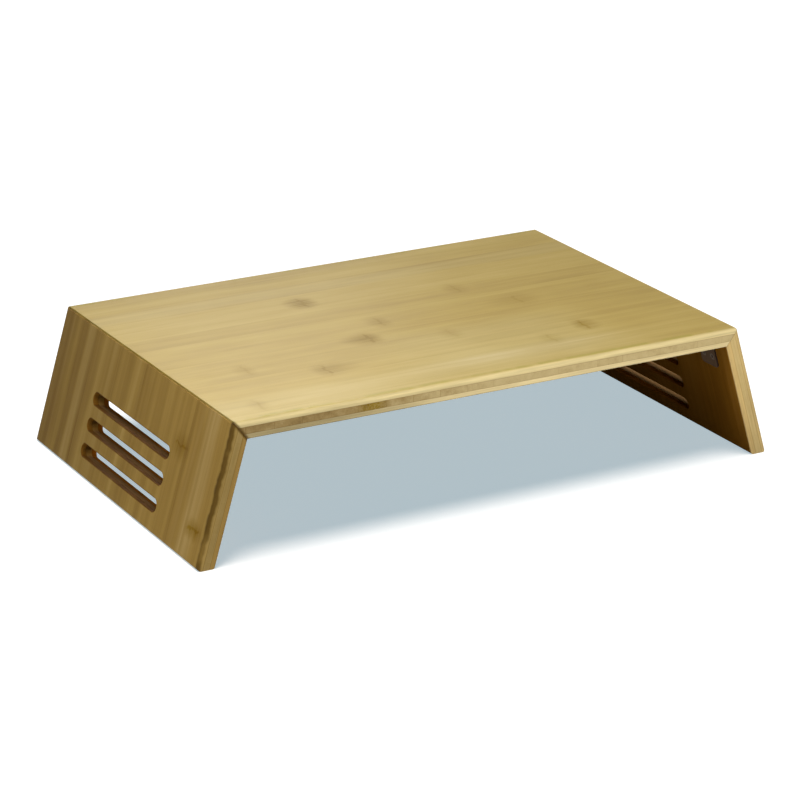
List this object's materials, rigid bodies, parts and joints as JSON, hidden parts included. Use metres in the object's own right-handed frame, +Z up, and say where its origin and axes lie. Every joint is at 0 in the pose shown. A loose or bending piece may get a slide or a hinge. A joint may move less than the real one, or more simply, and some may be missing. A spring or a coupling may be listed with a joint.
{
  "type": "monitor riser stand",
  "caption": "Low bamboo riser for a monitor: flat laminated top on splayed, mitred side legs with long vent slots, which fold flat under the top on steel butt hinges.",
  "frame": {"origin": "on the desk, below the middle of the top", "axes": "+X along the width, +Y from the open front to the back, +Z up"},
  "size_m": [0.458, 0.28, 0.1],
  "materials": {
    "bamboo_top": "satin clear-coated bamboo, strips along the width",
    "bamboo_leg": "satin clear-coated bamboo, strips down the slope",
    "bamboo_core": "satin clear-coated bamboo end grain",
    "hinge_steel": "dark bronzed pressed steel",
    "screw_steel": "dark bronzed steel, a little brighter where a driver has rubbed it"
  },
  "bodies": {
    "top": {"top_face_ply": "bamboo_top", "top_core_ply": "bamboo_core", "top_under_ply": "bamboo_top", "left_front_top_leaf": "hinge_steel", "left_front_pin": "hinge_steel", "left_back_top_leaf": "hinge_steel", "left_back_pin": "hinge_steel", "left_top_screws": "screw_steel", "right_front_top_leaf": "hinge_steel", "right_front_pin": "hinge_steel", "right_back_top_leaf": "hinge_steel", "right_back_pin": "hinge_steel", "right_top_screws": "screw_steel"},
    "left_leg": {"left_leg_face_ply": "bamboo_leg", "left_leg_core_ply": "bamboo_core", "left_leg_inner_ply": "bamboo_leg", "left_front_leg_leaf": "hinge_steel", "left_back_leg_leaf": "hinge_steel", "left_leg_screws": "screw_steel"},
    "right_leg": {"right_leg_face_ply": "bamboo_leg", "right_leg_core_ply": "bamboo_core", "right_leg_inner_ply": "bamboo_leg", "right_front_leg_leaf": "hinge_steel", "right_back_leg_leaf": "hinge_steel", "right_leg_screws": "screw_steel"}
  },
  "joints": [
    {"name": "left_leg_fold", "type": "hinge", "parent": "top", "child": "left_leg", "pos_m": [-0.18845, 0, 0.0845], "axis": [0, -1, 0], "range_deg": [0, 106.6]},
    {"name": "right_leg_fold", "type": "hinge", "parent": "top", "child": "right_leg", "pos_m": [0.18845, 0, 0.0845], "axis": [0, 1, 0], "range_deg": [0, 106.6]}
  ]
}
